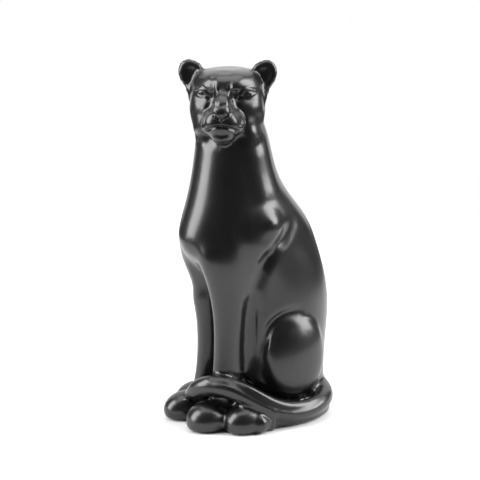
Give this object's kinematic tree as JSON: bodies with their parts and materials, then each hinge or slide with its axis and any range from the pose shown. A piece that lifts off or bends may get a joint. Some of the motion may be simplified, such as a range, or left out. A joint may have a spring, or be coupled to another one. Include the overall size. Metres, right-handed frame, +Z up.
{
  "type": "television lamp",
  "caption": "Tall seated big-cat television lamp: a hollow black-glazed ceramic figure with a bulb and switched lampholder behind an arched rear window.",
  "frame": {"origin": "centre of the bounding box at the table, under the felt pads", "axes": "-Y the way the cat's breast faces, +X towards its left flank, +Z up; the head is turned 49 degrees to its left"},
  "size_m": [0.1355, 0.178, 0.3652],
  "materials": {
    "black_glaze": "glossy black glaze over slip-cast earthenware",
    "black_rubber": "moulded",
    "felt": "pressed wool felt",
    "zinc_steel": "zinc plated",
    "spun_brass": "spun and lacquered",
    "stamped_brass": "stamped",
    "vulcanised_fibre": "pressed fibre",
    "phenolic": "moulded",
    "switch_steel": "turned",
    "lamp_aluminium": "pressed",
    "frosted_glass": "blown and etched inside",
    "solder": "dipped solder",
    "lamp_wire": "drawn wire"
  },
  "bodies": {
    "lamp": {"figure": "black_glaze", "flex_bush": "black_rubber", "felt_pad_forepaw_left": "felt", "felt_pad_forepaw_right": "felt", "felt_pad_flank_left": "felt", "felt_pad_flank_right": "felt", "felt_pad_rump": "felt", "lamp_tube": "zinc_steel", "cushion_washer_lower": "black_rubber", "steel_washer_lower": "zinc_steel", "hex_nut_lower": "zinc_steel", "cushion_washer_upper": "black_rubber", "steel_washer_upper": "zinc_steel", "hex_nut_upper": "zinc_steel", "lock_washer": "zinc_steel", "holder_cap": "spun_brass", "cap_set_screw": "zinc_steel", "cap_liner": "vulcanised_fibre", "holder_shell": "spun_brass", "shell_liner": "vulcanised_fibre", "holder_insulator": "phenolic", "terminal_plate_live": "stamped_brass", "terminal_screw_live": "stamped_brass", "terminal_plate_neutral": "zinc_steel", "terminal_screw_neutral": "zinc_steel", "holder_screw_shell": "lamp_aluminium", "centre_contact": "stamped_brass"},
    "switch_key": {"switch_shaft": "switch_steel", "switch_knob": "phenolic"},
    "bulb": {"bulb_glass": "frosted_glass", "bulb_screw_cap": "lamp_aluminium", "bulb_insulator": "phenolic", "bulb_tip": "solder", "bulb_stem": "frosted_glass", "bulb_leads": "lamp_wire", "bulb_filament": "lamp_wire"}
  },
  "joints": [
    {"name": "key_turn", "type": "hinge", "parent": "lamp", "child": "switch_key", "pos_m": [-0.0038, 0.02598, 0.06085], "axis": [-0.4226, 0.9063, 0], "continuous": true},
    {"name": "bulb_lift", "type": "slide", "parent": "lamp", "child": "bulb", "axis": [0, 0, 1], "range_m": [0, 0.03]}
  ]
}
